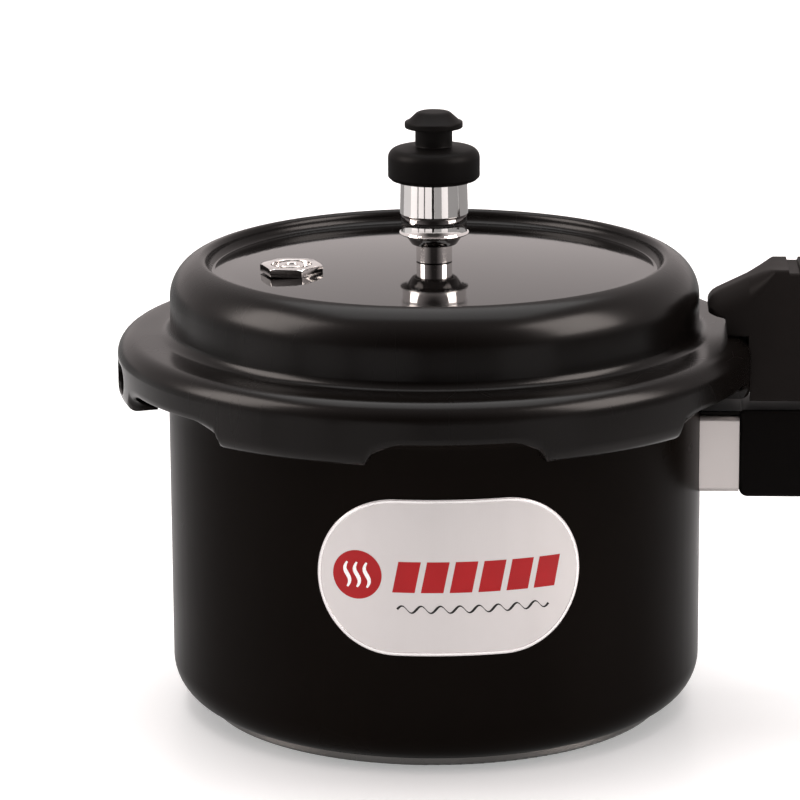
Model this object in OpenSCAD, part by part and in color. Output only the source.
// Stovetop pressure cooker with an outer bayonet lid, a long handle pair and a vent weight.
// +Z is up, the origin is the centre of the base on the surface, and the handles run along +X.

/* [Pot] */
// Outer diameter of the pot wall
pot_d = 200; // [180:1:244]
// Thickness of the pot wall
pot_wall = 3; // [2:0.1:4]
// Thickness of the pot floor above the base disc
pot_floor = 4; // [3:0.1:6]
// Height of the pot rim above the surface
pot_h = 129.5; // [105:0.5:180]
// Outer radius of the bottom corner
pot_corner = 15.5; // [8:0.5:20]
// Diameter of the base disc
base_d = 174; // [120:1:176]
// Thickness of the base disc
base_t = 3; // [1.5:0.1:6]

/* [Bayonet] */
// Number of bayonet lugs
lug_count = 6; // [4:1:6]
// Azimuth of the first lug when the lid is closed
lug_phase = 6; // [0:1:10]
// Angle that each pot lug covers
pot_lug_angle = 22; // [16:1:23]
// Angle of each notch between the lid lugs
notch_angle = 25; // [24:1:28]
// Reach of the rim flange beyond the pot wall
rim_reach = 6; // [4:0.5:7]
// Reach of the pot lugs beyond the pot wall
pot_lug_reach = 13.5; // [11:0.5:13.5]
// Thickness of the rim flange and of its lugs
rim_t = 5; // [4:0.5:5.5]
// Gap between a lid lug and the pot lug above it
lug_gap = 1.5; // [1:0.1:2]

/* [Lid] */
// Thickness of the lid sheet
lid_wall = 3; // [2:0.1:3.5]
// Reach of the lid skirt beyond the pot wall
skirt_reach = 18.8; // [18.8:0.2:26]
// Reach of the lid lugs inward from the skirt's outer face
lid_lug_depth = 11.8; // [10.5:0.1:12]
// Height of the lid flange above the pot rim
flange_rise = 13.5; // [11:0.5:20]
// Height of the raised ring's crest above the pot rim
crest_rise = 42; // [36:1:60]
// Outer radius of the raised ring, less than the pot wall by this much
ring_inset = 1; // [0:0.5:3]
// Shoulder radius of the raised ring
ring_shoulder = 15; // [8:0.5:18]
// Shoulder radius of the flange
skirt_bend = 7; // [5:0.5:8]
// Bend radius of the lugs
lug_bend = 5; // [4.5:0.5:6]
// Depth of the recessed plate's edge below the crest
plate_depth = 5.5; // [4:0.5:8]
// Height of the plate's crown above its edge
plate_crown = 2.8; // [0:0.2:4]
// Radius of the recess, less than the ring by this much
crest_width = 14; // [10:0.5:20]
// Radius of the concave corner between the ring and the flange
flange_fillet = 4; // [2:0.5:5]
// Height of the notches' edge above the lugs' lower face
notch_rise = 8.5; // [8:0.5:9.5]
// Corner radius of the notches
notch_corner = 6; // [2:0.5:6.5]
// Width of the gasket release window
window_w = 22; // [8:0.5:24]
// Height of the gasket release window
window_h = 11; // [6:0.5:11.5]
// Angle of the gasket release window past the middle of its lug
window_turn = 6; // [-6:0.5:6]

/* [Gasket] */
// Radial width of the gasket
gasket_w = 14; // [8:0.5:14]
// Radial gap between the gasket and the lid skirt
gasket_side_gap = 1.3; // [0.5:0.1:3]
// Gap between the gasket and the faces that it seals
seal_gap = 0.2; // [0.1:0.05:0.3]
// Thickness of each gasket lip
lip_t = 2.6; // [1.5:0.1:3]
// Thickness of the gasket's solid back
gasket_back = 5; // [3:0.5:7]

/* [Vent and weight] */
// Diameter of the vent tube above the lid
tube_d = 13.5; // [11:0.5:15]
// Diameter of the vent tube's threaded stem
stem_d = 10; // [8:0.5:10.5]
// Diameter of the steam passage
steam_d = 3; // [2:0.5:4]
// Height of the vent tube above the lid plate
tube_h = 19; // [16:0.5:24]
// Height of the vent tube that shows below the weight
tube_show = 6.6; // [5:0.1:9]
// Diameter of the weight's metal body
weight_d = 25; // [22:0.5:32]
// Height of the weight's metal body
weight_h = 24; // [24:0.5:34]
// Diameter of the black cap
cap_d = 34.2; // [32:0.2:44]
// Height of the black cap
cap_h = 13.6; // [13:0.2:20]
// Diameter of the knob's neck
neck_d = 13.8; // [10:0.2:18]
// Height of the knob's neck
neck_h = 5.6; // [4:0.2:10]
// Diameter of the knob's mushroom head
head_d = 21.6; // [18:0.2:30]
// Height of the knob's mushroom head
head_h = 6.8; // [5:0.2:10]
// Thickness of the retaining clip's wire
clip_wire = 1.1; // [0.8:0.1:1.2]

/* [Safety valve] */
// Distance of the safety valve from the lid's axis
valve_reach = 54.5; // [45:0.5:58]
// Azimuth of the safety valve
valve_azimuth = 196; // [150:1:230]
// Width of the safety valve's hexagon across its flats
valve_flats = 20.6; // [18:0.2:24]
// Turn of the hexagon on its seat
valve_turn = 54; // [0:1:60]
// Height of the hexagon above its seat
valve_head_h = 3; // [2.5:0.1:5]
// Diameter of the safety valve's threaded stem
valve_stem_d = 12; // [10:0.5:12.5]
// Diameter of the fusible core
fuse_d = 4.4; // [3:0.2:5]

/* [Nuts and washers] */
// Thickness of the nuts below the lid
nut_h = 5; // [4:0.5:7]
// Thickness of the washers below the lid
washer_t = 1.5; // [1:0.1:2.5]

/* [Handles] */
// Width of both handles
handle_w = 27; // [25:0.5:34]
// Length of both handles beyond the pot wall
handle_l = 140; // [120:1:180]
// Height of the lower handle's top face below the pot rim
lower_top_drop = 14.5; // [13:0.5:16]
// Height of the lower handle at its root
lower_h = 33.5; // [33:0.5:40]
// Gap between the upper and the lower handle
handle_gap = 3.5; // [2:0.5:6]
// Height of the upper handle's top face above the pot rim
upper_top_rise = 38.8; // [34:0.2:44]
// Length of the steel ferrule
ferrule_l = 14.2; // [12:0.2:24]
// Height of the ferrule
ferrule_h = 30; // [27:0.2:30.4]
// Width of the ferrule
ferrule_w = 24.5; // [22:0.5:26]
// Thickness of the ferrule's wall
ferrule_t = 1.2; // [0.8:0.1:2]
// Thickness of the lower handle's guard over the ferrule
guard_t = 1.4; // [1:0.1:1.8]
// Thickness of the brackets' tongues
tongue_t = 4; // [3:0.5:5]
// Width of the brackets' tongues
tongue_w = 14; // [12:0.5:16]
// Length of the brackets' tongues inside the handles
tongue_l = 46; // [40:1:60]
// Diameter of the handle screws
screw_d = 4; // [3:0.5:5]
// Diameter of the bracket rivets
rivet_d = 3.5; // [2.5:0.5:3.5]

/* [Label] */
// Length of the label round the pot
label_l = 97; // [60:1:110]
// Height of the label
label_h = 57.8; // [40:0.2:64]
// Thickness of the label
label_t = 0.4; // [0.3:0.1:0.8]
// Height of the label's centre above the middle of the straight wall
label_rise = 5; // [-4:0.5:6]
// Azimuth of the label's centre
label_azimuth = -84.7; // [-100:0.1:-70]

/* [Hidden] */

$fn = 96;

// Assembly gap between curved pieces of one body
slip = 0.1;
// Length by which a cutting shape passes the face that it cuts
over = 1;

pot_r = pot_d / 2;
inner_r = pot_r - pot_wall;
skirt_r = pot_r + skirt_reach;
ring_r = pot_r - ring_inset;
recess_r = ring_r - crest_width;
lug_pitch = 360 / lug_count;
rim_fillet = 3;

rim_bottom = pot_h - rim_t;
label_z = (base_t + pot_corner + rim_bottom - rim_fillet) / 2 + label_rise;
lug_top = rim_bottom - lug_gap;
lug_bottom = lug_top - lid_wall;
bend_z = lug_bottom + lug_bend;
notch_z = lug_bottom + notch_rise;
window_z = lug_top + 1 + window_h / 2;
flange_z = pot_h + flange_rise;
crest_z = pot_h + crest_rise;
plate_edge_z = crest_z - plate_depth;
plate_fillet = min(3, plate_depth / 2);
crest_round = min(2.5, plate_depth / 2 - 0.2);
plate_r = recess_r - plate_fillet;
plate_steps = 8;

// Height of the lid plate's top face at the distance r from the axis
function plate_z(r) = plate_edge_z + plate_crown * (1 - pow(r / plate_r, 2));

seat_z = plate_z(0);
tube_top = seat_z + tube_h;
orifice_depth = 1;
weight_bottom = seat_z + tube_show;
weight_top = weight_bottom + weight_h;
weight_bore_r = tube_d / 2 + 0.35;
bore_top = tube_top + 1;
bead_r = weight_d / 2 + 0.5;
bead_z = weight_bottom + 4.4;
waist_r = weight_d / 2 - 0.7;
waist_top = weight_bottom + 11.5;
clip_z = weight_bottom + 6;
clip_gap = 0.4;
clip_r = tube_d / 2 + slip + clip_wire / 2;
clip_groove_r = clip_r + clip_wire / 2 + clip_gap;
needle_r = steam_d / 2 + orifice_depth - 0.15;
needle_stem_r = 2;
needle_stem_h = 4;
stud_r = 2.5;
stud_in_body = 5;
stud_in_knob = 9;
cap_top = weight_top + cap_h;
neck_top = cap_top + neck_h;
head_top = neck_top + head_h;

vent_washer_r = stem_d / 2 + 4;
vent_washer_top = plate_z(plate_r / plate_steps) - lid_wall;
vent_nut_flats = stem_d + 7;
valve_pad_r = valve_flats / 2 / cos(30) + 0.6;
valve_seat_z = plate_z(valve_reach);
valve_washer_r = valve_stem_d / 2 + 3.5;
valve_nut_flats = valve_stem_d + 7;
nut_past = 1.5;

handle_end = pot_r + handle_l;
ferrule_end = pot_r + ferrule_l;
lower_top = pot_h - lower_top_drop;
lower_bottom = lower_top - lower_h;
upper_bottom = lower_top + handle_gap;
upper_top = pot_h + upper_top_rise;
pot_tongue_z = lower_bottom + 1.4 + ferrule_h / 2;
bracket_sheet = 2;
rivet_head_r = rivet_d * 0.9;
rivet_head_h = 1.5;
lid_rivet_z = bend_z + rivet_d;
lid_rivet_angle = 2.6;
lid_tongue_z = lid_rivet_z + rivet_head_r + tongue_t / 2 + 0.4;
lid_foot_w = 20;
lid_foot_low = lid_rivet_z - 4;
lid_foot_high = lid_tongue_z + tongue_t / 2 + 0.5;
pot_foot_w = tongue_w + 2;
pot_foot_h = ferrule_h - 8.4;
pot_rivet_z = 6.5;
foot_x = skirt_r + 0.5;
foot_in = skirt_r - 10;
nose_x = ring_r + 3.2;
nose_top = upper_top - 11;
ridge_x = ring_r + 27;
waist_drop = 22;
ferrule_corner = 2.5;
screw_head_r = screw_d;
screw_head_h = 2.6;
screw_sink = 1;
screw_spacing = 22;
pot_screw_x = ferrule_end + 12;
lid_screw_x = foot_x + 20;

// Points of an arc about x, z
function arc(x, z, r, from, to, steps = 5) =
    [for (i = [0 : steps]) let (a = from + (to - from) * i / steps) [x + r * cos(a), z + r * sin(a)]];

// Points of a smooth rise or fall between two points, level at both ends
function ease(x0, z0, x1, z1, steps = 8) =
    [for (i = [0 : steps]) let (t = i / steps)
        [x0 + (x1 - x0) * t, z0 + (z1 - z0) * (3 * t * t - 2 * t * t * t)]];

// ---- shared shapes ----

// Rectangle from the axis out to r with a rounded lower corner
module rounded_bottom(r, low, high, corner) {
    translate([0, low + corner]) square([r, high - low - corner]);
    translate([0, low]) square([r - corner, corner]);
    translate([r - corner, low + corner]) circle(corner);
}

// Rectangle from the axis out to r with a rounded upper corner
module rounded_top(r, low, high, corner) {
    translate([0, low]) square([r, high - low - corner]);
    translate([0, low]) square([r - corner, high - low]);
    translate([r - corner, high - corner]) circle(corner);
}

// Rectangle centred on the origin with four rounded corners
module rounded_rect(w, h, corner) {
    square([w - 2 * corner, h], center = true);
    square([w, h - 2 * corner], center = true);
    for (sx = [-1, 1], sy = [-1, 1])
        translate([sx * (w / 2 - corner), sy * (h / 2 - corner)]) circle(corner);
}

// Concave corner: the square at the origin less the circle about its far corner
module inner_fillet(r) {
    difference() {
        square(r);
        translate([r, r]) circle(r);
    }
}

// Outline in X and Z, extruded to the width w about the XZ plane
module side_extrude(w) {
    translate([0, w / 2, 0]) rotate([90, 0, 0]) linear_extrude(w) children();
}

// Outline in Y and Z, extruded along +X from x0
module along_x(x0, length) {
    translate([x0, 0, 0]) rotate([90, 0, 90]) linear_extrude(length) children();
}

// Cylinder along +X from x0
module rod_x(x0, length, r) {
    translate([x0, 0, 0]) rotate([0, 90, 0]) cylinder(h = length, r = r);
}

// Copies at each bayonet position, turned by an extra angle
module each_lug(extra) {
    for (i = [0 : lug_count - 1]) rotate(lug_phase + extra + i * lug_pitch) children();
}

// Hexagonal prism with its upper edges chamfered
module hex_prism(flats, h, chamfer) {
    corner_r = flats / 2 / cos(30);
    intersection() {
        cylinder(h = h, r = corner_r, $fn = 6);
        union() {
            cylinder(h = h - chamfer, r = corner_r + 1);
            translate([0, 0, h - chamfer]) cylinder(h = chamfer, r1 = corner_r, r2 = corner_r - 2 * chamfer);
        }
    }
}

// Hexagon nut from z = low up, with a bore
module nut(flats, bore_r, low, h) {
    translate([0, 0, low]) difference() {
        cylinder(h = h, r = flats / 2 / cos(30), $fn = 6);
        translate([0, 0, -over]) cylinder(h = h + 2 * over, r = bore_r);
    }
}

// Flat ring from z = low up
module ring(r_in, r_out, low, h) {
    translate([0, 0, low]) difference() {
        cylinder(h = h, r = r_out);
        translate([0, 0, -over]) cylinder(h = h + 2 * over, r = r_in);
    }
}

// Domed rivet head on the face at x, pointing along +X (side 1) or -X (side -1)
module rivet_head(x, side) {
    translate([x, 0, 0]) rotate([0, side * 90, 0])
        cylinder(h = rivet_head_h, r1 = rivet_head_r, r2 = rivet_head_r * 0.65);
}

// Upright screw: pan head at the bottom with a cross slot, shank up to the height top
module screw(bottom, top) {
    difference() {
        union() {
            translate([0, 0, bottom]) cylinder(h = screw_head_h, r = screw_head_r);
            translate([0, 0, bottom]) cylinder(h = top - bottom, d = screw_d);
        }
        for (a = [0, 90]) rotate(a)
            translate([-screw_head_r * 0.6, -0.5, bottom - over]) cube([screw_head_r * 1.2, 1, over + 1.2]);
    }
}

// Hole for that screw, with a counterbore for its head
module screw_hole(bottom, head_top, top) {
    translate([0, 0, bottom]) cylinder(h = head_top - bottom, r = screw_head_r + slip);
    translate([0, 0, bottom]) cylinder(h = top - bottom, r = screw_d / 2 + slip);
}

// Two places along X for upright screws
module screw_places(x) {
    for (i = [0, 1]) translate([x + i * screw_spacing, 0, 0]) children();
}

// Sheet foot of a bracket, wrapped on the cylinder of radius r
module bracket_foot(r, w, low, high) {
    intersection() {
        translate([0, -w / 2, low]) cube([2 * r, w, high - low]);
        rotate_extrude() translate([r, low - over]) square([bracket_sheet, high - low + 2 * over]);
    }
}

// Flat tongue of a bracket along +X about the height z
module bracket_tongue(x0, x1, z) {
    translate([x0, -tongue_w / 2, z - tongue_t / 2]) cube([x1 - x0, tongue_w, tongue_t]);
}

// Plan of a handle: rounded corners at its root and a round end
module handle_plan(x0, x1, root_corner) {
    end_r = handle_w / 2 - 0.5;
    translate([x0, root_corner - handle_w / 2]) square([x1 - end_r - x0, handle_w - 2 * root_corner]);
    translate([x0 + root_corner, -handle_w / 2]) square([x1 - end_r - x0 - root_corner, handle_w]);
    translate([x1 - end_r, 0]) intersection() {
        circle(end_r + 0.5);
        translate([0, -handle_w]) square([end_r, 2 * handle_w]);
    }
    for (s = [-1, 1])
        translate([x0 + root_corner, s * (handle_w / 2 - root_corner)]) circle(root_corner);
}

// ---- pot ----

// Places of the two rivets of the pot bracket, one above the other
module pot_rivet_places() {
    for (s = [-1, 1]) translate([0, 0, pot_tongue_z + s * pot_rivet_z]) children();
}

module pot_body() {
    color("#1c1a19")
    difference() {
        union() {
            rotate_extrude() {
                difference() {
                    rounded_bottom(pot_r, base_t, pot_h, pot_corner);
                    rounded_bottom(inner_r, base_t + pot_floor, pot_h + over, pot_corner - pot_wall);
                }
                translate([inner_r, rim_bottom]) square([pot_wall + rim_reach, rim_t]);
                translate([pot_r, rim_bottom]) mirror([0, 1]) inner_fillet(rim_fillet);
            }
            each_lug(-pot_lug_angle / 2)
                rotate_extrude(angle = pot_lug_angle)
                    translate([pot_r, rim_bottom]) square([pot_lug_reach, rim_t]);
        }
        pot_rivet_places() rod_x(inner_r - over, pot_wall + 2 * over, rivet_d / 2 + slip);
    }
}

module base_plate() {
    color("#3a3836")
    rotate_extrude() rounded_bottom(base_d / 2, 0, base_t, 1);
}

module pot_bracket() {
    color("#8d8f91")
    difference() {
        union() {
            bracket_foot(pot_r + slip, pot_foot_w,
                         pot_tongue_z - pot_foot_h / 2, pot_tongue_z + pot_foot_h / 2);
            bracket_tongue(pot_r + bracket_sheet, ferrule_end + tongue_l, pot_tongue_z);
        }
        pot_rivet_places() rod_x(pot_r - over, bracket_sheet + 2 * over, rivet_d / 2 + slip);
        screw_places(pot_screw_x) translate([0, 0, pot_tongue_z - tongue_t])
            cylinder(h = 2 * tongue_t, r = screw_d / 2 + slip);
    }
}

module pot_bracket_rivets() {
    color("#b9babc")
    pot_rivet_places() {
        rod_x(inner_r - slip, pot_wall + bracket_sheet + 3 * slip, rivet_d / 2);
        rivet_head(inner_r - slip, -1);
        rivet_head(pot_r + bracket_sheet + slip, 1);
    }
}

module handle_ferrule() {
    color("#b4b2b0")
    difference() {
        translate([0, 0, pot_tongue_z]) along_x(inner_r, ferrule_end - inner_r) difference() {
            rounded_rect(ferrule_w, ferrule_h, ferrule_corner);
            rounded_rect(ferrule_w - 2 * ferrule_t, ferrule_h - 2 * ferrule_t, ferrule_corner - ferrule_t);
        }
        cylinder(h = pot_h, r = pot_r + slip);
    }
}

module lower_handle() {
    belly = lower_bottom + 6;
    guard_low = pot_tongue_z + ferrule_h / 2 + slip;
    color("#171615")
    difference() {
        union() {
            intersection() {
                side_extrude(handle_w)
                    polygon(concat(
                        arc(ferrule_end + 3, lower_bottom + 3, 3, 180, 270),
                        ease(ferrule_end + 30, lower_bottom, ferrule_end + 75, belly),
                        arc(handle_end - 9, belly + 9, 9, 270, 360),
                        arc(handle_end - 4, lower_top - 4, 4, 0, 90),
                        arc(ferrule_end + 2, lower_top - 2, 2, 90, 180)));
                translate([0, 0, lower_bottom - over]) linear_extrude(lower_h + 2 * over)
                    handle_plan(ferrule_end, handle_end, 2);
            }
            translate([inner_r, -ferrule_w / 2, guard_low])
                cube([ferrule_end + 4 - inner_r, ferrule_w, guard_t]);
        }
        cylinder(h = pot_h, r = pot_r + slip);
        translate([ferrule_end - over, -tongue_w / 2 - slip, pot_tongue_z - tongue_t / 2 - slip])
            cube([tongue_l + 2 * over, tongue_w + 2 * slip, tongue_t + 2 * slip]);
        screw_places(pot_screw_x)
            screw_hole(lower_bottom - over, lower_bottom + screw_sink + screw_head_h,
                       pot_tongue_z + tongue_t);
    }
}

module lower_handle_screws() {
    color("#a9aaac")
    screw_places(pot_screw_x) screw(lower_bottom + screw_sink, pot_tongue_z + tongue_t / 2 + 1);
}

module label_plate() {
    half_chord = pot_r * sin(label_l / 2 / pot_r * 180 / PI);
    color("#bdbcba")
    rotate(label_azimuth) intersection() {
        translate([0, 0, label_z]) along_x(0, pot_r + over) {
            square([2 * half_chord - label_h, label_h], center = true);
            for (s = [-1, 1]) translate([s * (half_chord - label_h / 2), 0]) circle(label_h / 2);
        }
        rotate_extrude() translate([pot_r + slip / 2, label_z - label_h]) square([label_t, 2 * label_h]);
    }
}

// ---- gasket ----

module gasket() {
    out_r = skirt_r - lid_wall - gasket_side_gap;
    low = pot_h + seal_gap;
    high = flange_z - lid_wall - seal_gap;
    slot_h = high - low - 2 * lip_t;
    color("#2b2b2d")
    rotate_extrude() difference() {
        intersection() {
            rounded_top(out_r, low, high, skirt_bend - lid_wall);
            translate([out_r - gasket_w, low]) square([gasket_w, high - low]);
        }
        translate([out_r - gasket_w - over, low + lip_t])
            square([gasket_w - gasket_back - slot_h / 2 + over, slot_h]);
        translate([out_r - gasket_back - slot_h / 2, (low + high) / 2]) circle(d = slot_h);
    }
}

// ---- lid ----

// Place of the safety valve on the lid plate
module at_valve() {
    rotate(valve_azimuth) translate([valve_reach, 0, 0]) children();
}

// Places of the two rivets of the lid bracket, side by side
module lid_rivet_places() {
    for (s = [-1, 1]) rotate(s * lid_rivet_angle) translate([0, 0, lid_rivet_z]) children();
}

// Half section of the lid's outer face, moved inward by inset
module lid_section(inset) {
    top = crest_z + over;
    difference() {
        union() {
            rounded_top(ring_r - inset, bend_z, crest_z - inset, ring_shoulder - inset);
            rounded_top(skirt_r - inset, bend_z, flange_z - inset, skirt_bend - inset);
            translate([ring_r - inset, flange_z - inset]) inner_fillet(flange_fillet + inset);
        }
        polygon(concat(
            [for (i = [0 : plate_steps]) let (r = plate_r * i / plate_steps) [r, plate_z(r) - inset]],
            [[plate_r, top], [0, top]]));
        translate([plate_r - slip, plate_edge_z + plate_fillet])
            square([plate_fillet + inset + slip, crest_z - plate_edge_z]);
        intersection() {
            translate([plate_r, plate_edge_z + plate_fillet]) circle(plate_fillet + inset);
            translate([plate_r, plate_edge_z - inset])
                square([2 * plate_fillet + inset, 2 * plate_fillet + inset]);
        }
    }
}

// Inward bend at the foot of the skirt, which forms the lid lugs
module lug_section() {
    bend_x = skirt_r - lug_bend;
    intersection() {
        translate([bend_x, bend_z]) difference() {
            circle(lug_bend);
            circle(lug_bend - lid_wall);
        }
        translate([bend_x, lug_bottom]) square(lug_bend);
    }
    translate([skirt_r - lid_lug_depth, lug_bottom]) square([lid_lug_depth - lug_bend, lid_wall]);
}

// Prism along +X through the skirt that cuts one notch
module notch_cutter() {
    w = 2 * skirt_r * sin(notch_angle / 2);
    along_x(pot_r, 2 * skirt_reach) {
        translate([-w / 2, lug_bottom - over]) square([w, notch_rise + over - notch_corner]);
        translate([notch_corner - w / 2, lug_bottom]) square([w - 2 * notch_corner, notch_rise]);
        for (s = [-1, 1])
            translate([s * (w / 2 - notch_corner), notch_z - notch_corner]) circle(notch_corner);
    }
}

module lid() {
    color("#1d1b1a")
    difference() {
        union() {
            rotate_extrude() {
                difference() {
                    lid_section(0);
                    lid_section(lid_wall);
                    translate([recess_r, crest_z - crest_round]) mirror([0, 1]) rotate(-90)
                        inner_fillet(crest_round);
                }
                lug_section();
            }
            at_valve() translate([0, 0, valve_seat_z - lid_wall - over])
                cylinder(h = lid_wall + 2 * over, r = valve_pad_r);
        }
        each_lug(lug_pitch / 2) notch_cutter();
        rotate(lug_phase + 180 + window_turn) translate([0, 0, window_z]) along_x(pot_r, 2 * skirt_reach)
            rounded_rect(window_w, window_h, window_h / 2 - slip);
        translate([0, 0, seat_z - 2 * lid_wall]) cylinder(h = 3 * lid_wall, r = stem_d / 2 + slip);
        at_valve() {
            translate([0, 0, valve_seat_z]) cylinder(h = lid_wall, r = valve_pad_r + slip);
            translate([0, 0, valve_seat_z - 2 * lid_wall]) cylinder(h = lid_wall, r = valve_pad_r + slip);
            translate([0, 0, valve_seat_z - 3 * lid_wall])
                cylinder(h = 5 * lid_wall, r = valve_stem_d / 2 + slip);
        }
        lid_rivet_places() rod_x(skirt_r - 2 * lid_wall, 3 * lid_wall, rivet_d / 2 + slip);
    }
}

module vent_tube() {
    nozzle_h = 3;
    stem_low = vent_washer_top - washer_t - nut_h - nut_past;
    color("#c9c9c9")
    rotate_extrude() difference() {
        union() {
            translate([0, stem_low]) square([stem_d / 2, seat_z - stem_low + over]);
            polygon([[0, seat_z], [tube_d / 2, seat_z], [tube_d / 2, tube_top - nozzle_h],
                     [needle_r + 0.8, tube_top], [0, tube_top]]);
        }
        translate([0, stem_low - over]) square([steam_d / 2, tube_top - stem_low + 2 * over]);
        polygon([[0, tube_top - orifice_depth], [steam_d / 2, tube_top - orifice_depth],
                 [steam_d / 2 + orifice_depth, tube_top], [0, tube_top]]);
    }
}

module vent_washer() {
    color("#d6d2c8")
    ring(stem_d / 2 + slip, vent_washer_r, vent_washer_top - washer_t, washer_t);
}

module vent_nut() {
    color("#b5b5b5")
    nut(vent_nut_flats, stem_d / 2 + slip, vent_washer_top - washer_t - nut_h, nut_h);
}

module valve_body() {
    groove_in = fuse_d / 2 + 2.6;
    groove_out = groove_in + 2.8;
    stem_low = valve_seat_z - lid_wall - washer_t - nut_h - nut_past;
    color("#cfcfce")
    at_valve() difference() {
        union() {
            translate([0, 0, valve_seat_z]) rotate(valve_turn) hex_prism(valve_flats, valve_head_h, 0.5);
            translate([0, 0, stem_low]) cylinder(h = valve_seat_z - stem_low, d = valve_stem_d);
        }
        ring(groove_in, groove_out, valve_seat_z + valve_head_h - 1.2, 1.2 + over);
        translate([0, 0, stem_low - over])
            cylinder(h = valve_seat_z + valve_head_h - stem_low + 2 * over, r = fuse_d / 2 + slip);
        for (a = [0 : 90 : 270]) rotate(a + 20) translate([groove_out - 1.2, 0, valve_seat_z])
            translate([0, 0, valve_head_h - 2]) cylinder(h = 2 + over, r = 1.1);
    }
}

module valve_fuse() {
    fuse_h = valve_head_h + lid_wall + washer_t;
    color("#9a9c9e")
    at_valve() translate([0, 0, valve_seat_z + valve_head_h - 0.5 - fuse_h])
        cylinder(h = fuse_h, d = fuse_d);
}

module valve_washer() {
    color("#7a2f2a")
    at_valve() ring(valve_stem_d / 2 + slip, valve_washer_r, valve_seat_z - lid_wall - washer_t, washer_t);
}

module valve_nut() {
    color("#b5b5b5")
    at_valve() nut(valve_nut_flats, valve_stem_d / 2 + slip,
                   valve_seat_z - lid_wall - washer_t - nut_h, nut_h);
}

module lid_bracket() {
    color("#8d8f91")
    difference() {
        union() {
            bracket_foot(skirt_r + slip, lid_foot_w, lid_foot_low, lid_foot_high);
            bracket_tongue(skirt_r + bracket_sheet, foot_x + tongue_l, lid_tongue_z);
        }
        lid_rivet_places() rod_x(skirt_r - over, bracket_sheet + 2 * over, rivet_d / 2 + slip);
        screw_places(lid_screw_x) translate([0, 0, lid_tongue_z - tongue_t])
            cylinder(h = 2 * tongue_t, r = screw_d / 2 + slip);
    }
}

module lid_bracket_rivets() {
    color("#b9babc")
    lid_rivet_places() {
        rod_x(skirt_r - lid_wall + slip, lid_wall + bracket_sheet + slip, rivet_d / 2);
        rivet_head(skirt_r + bracket_sheet + 2 * slip, 1);
    }
}

module upper_handle() {
    grip_top = upper_top - waist_drop;
    pocket_l = bracket_sheet + rivet_head_h + 1;
    color("#1b1a19")
    difference() {
        intersection() {
            side_extrude(handle_w)
                polygon(concat(
                    [[nose_x, nose_top - 5.5], [foot_in, flange_z + 6.8]],
                    [[foot_in, flange_z + slip], [foot_x, flange_z + slip]],
                    [[foot_x, upper_bottom]],
                    arc(handle_end - 4, upper_bottom + 4, 4, 270, 360),
                    arc(handle_end - 14, grip_top - 14, 14, 0, 90),
                    ease(ridge_x + 52, grip_top, ridge_x + 12, upper_top),
                    [[ridge_x + 9.5, upper_top - 1.2], [ridge_x + 6, upper_top - 1.2]],
                    [[ridge_x + 5.5, upper_top], [ridge_x, upper_top]],
                    [[nose_x + 2.6, nose_top + 0.5], [nose_x + 0.8, nose_top - 1]],
                    [[nose_x, nose_top - 2.8]]));
            translate([0, 0, upper_bottom - over]) linear_extrude(upper_top - upper_bottom + 2 * over)
                handle_plan(nose_x, handle_end, 6.5);
        }
        translate([foot_x - over, -lid_foot_w / 2 - 0.5, lid_foot_low - 0.5])
            cube([pocket_l + over, lid_foot_w + 1, lid_foot_high - lid_foot_low + 1]);
        translate([foot_x, -tongue_w / 2 - slip, lid_tongue_z - tongue_t / 2 - slip])
            cube([tongue_l + over, tongue_w + 2 * slip, tongue_t + 2 * slip]);
        screw_places(lid_screw_x)
            screw_hole(upper_bottom - over, upper_bottom + screw_sink + screw_head_h,
                       lid_tongue_z + tongue_t);
    }
}

module upper_handle_screws() {
    color("#a9aaac")
    screw_places(lid_screw_x) screw(upper_bottom + screw_sink, lid_tongue_z + tongue_t / 2 + 1);
}

// ---- weight ----

module weight_clip() {
    color("#d0d0d0")
    translate([0, 0, clip_z]) rotate(15)
        rotate_extrude(angle = 330) translate([clip_r, 0]) circle(d = clip_wire, $fn = 24);
}

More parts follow.
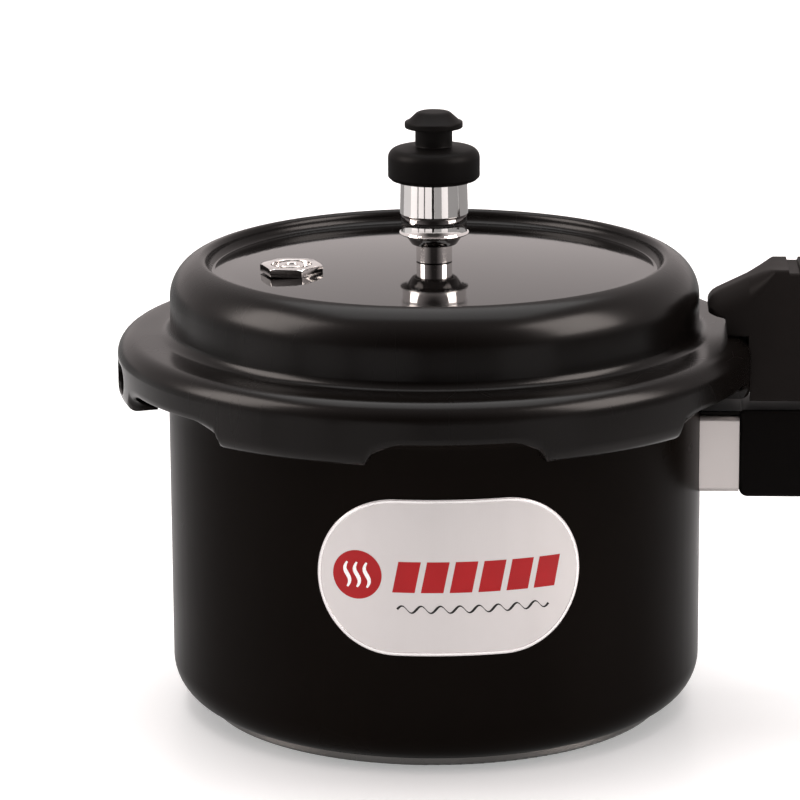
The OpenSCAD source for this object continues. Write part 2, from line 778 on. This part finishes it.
module weight_body() {
    color("#dcdcdc")
    rotate_extrude() difference() {
        polygon([[0, weight_bottom], [weight_bore_r + 1.3, weight_bottom],
                 [bead_r, bead_z - 0.5], [bead_r, bead_z + 0.3],
                 [waist_r, bead_z + 1], [waist_r, waist_top - 0.5],
                 [weight_d / 2, waist_top], [weight_d / 2, weight_top], [0, weight_top]]);
        translate([0, weight_bottom - over]) square([weight_bore_r, bore_top - weight_bottom + over]);
        translate([0, clip_z - clip_wire / 2 - clip_gap])
            square([clip_groove_r, clip_wire + 2 * clip_gap]);
        translate([0, bore_top - over]) square([needle_stem_r + slip / 2, needle_stem_h + over]);
        translate([0, weight_top - stud_in_body]) square([stud_r + slip / 2, stud_in_body + over]);
    }
}

module weight_seat() {
    tip = needle_r - 0.5;
    color("#c4c6c8")
    rotate_extrude()
        polygon([[0, tube_top - tip], [0.5, tube_top - tip], [needle_r, tube_top], [needle_r, bore_top],
                 [needle_stem_r, bore_top], [needle_stem_r, bore_top + needle_stem_h],
                 [0, bore_top + needle_stem_h]]);
}

module weight_stud() {
    color("#a5a6a8")
    translate([0, 0, weight_top - stud_in_body]) cylinder(h = stud_in_body + stud_in_knob, r = stud_r);
}

module weight_knob() {
    cap_r = cap_d / 2;
    head_r = head_d / 2;
    color("#191817")
    rotate_extrude() difference() {
        polygon(concat(
            [[0, weight_top], [cap_r - 1.5, weight_top], [cap_r, weight_top + 1.5]],
            arc(cap_r - 4, cap_top - 5, 4, 0, 80, 4),
            [[neck_d / 2, cap_top], [neck_d / 2, neck_top]],
            [[head_r - 0.8, neck_top + 0.8], [head_r, neck_top + 1.8]],
            arc(head_r - 1.2, neck_top + 2.6, 1.2, 0, 55, 2),
            [[head_r * 0.55, head_top - 0.8], [head_r * 0.3, head_top - 0.15], [0, head_top]]));
        translate([0, weight_top - over]) square([stud_r + slip / 2, stud_in_knob + over]);
    }
}

pot_body();
base_plate();
pot_bracket();
pot_bracket_rivets();
handle_ferrule();
lower_handle();
lower_handle_screws();
label_plate();
gasket();
lid();
vent_tube();
vent_washer();
vent_nut();
valve_body();
valve_fuse();
valve_washer();
valve_nut();
lid_bracket();
lid_bracket_rivets();
upper_handle();
upper_handle_screws();
weight_clip();
weight_body();
weight_seat();
weight_stud();
weight_knob();
